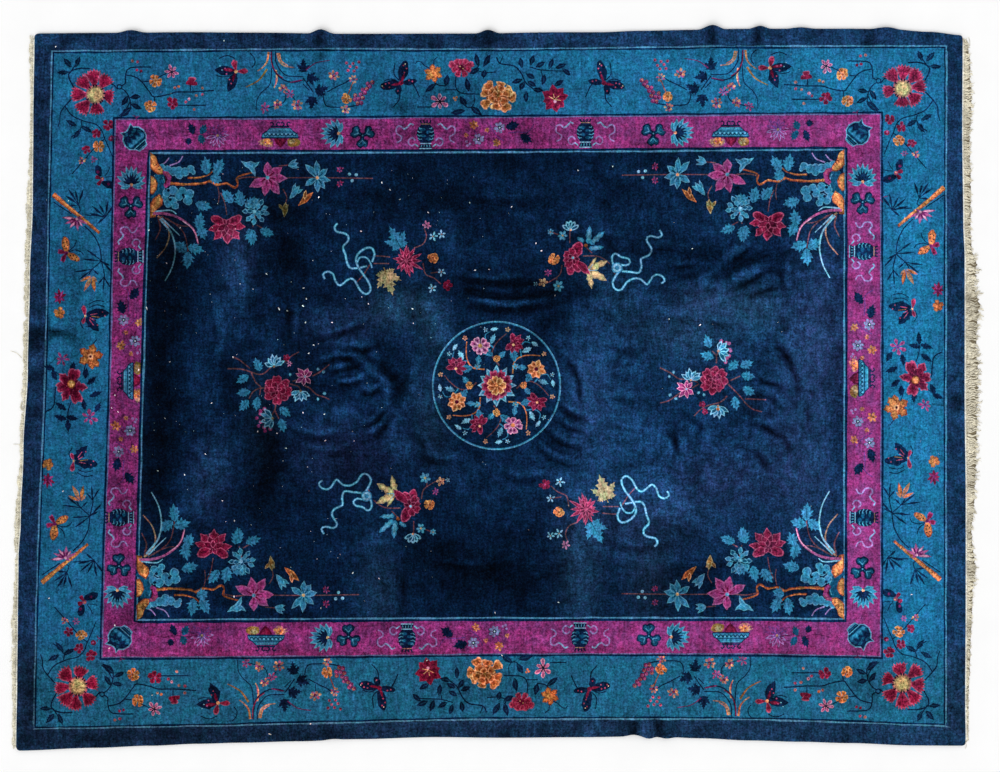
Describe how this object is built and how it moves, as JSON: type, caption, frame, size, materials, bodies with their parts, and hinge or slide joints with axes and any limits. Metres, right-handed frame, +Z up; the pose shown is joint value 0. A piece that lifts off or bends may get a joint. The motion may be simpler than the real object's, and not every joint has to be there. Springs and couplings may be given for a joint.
{
  "type": "chinese art deco rug",
  "caption": "Room-size hand-knotted carpet lying flat, with a thick wool pile in navy, teal and magenta and a short cotton fringe at each end.",
  "frame": {"origin": "centre of the whole rug's outline, on the floor under it", "axes": "+X along the long side, from one fringe to the other; +Y across the rug; +Z up, out of the pile"},
  "size_m": [3.73, 2.7764, 0.028],
  "materials": {
    "pile": "dense cut wool pile, matt with a soft sheen",
    "fringe": "undyed twisted cotton, matt"
  },
  "bodies": {
    "root": {"carpet": "pile", "fringe_left": "fringe", "fringe_right": "fringe"}
  },
  "joints": []
}
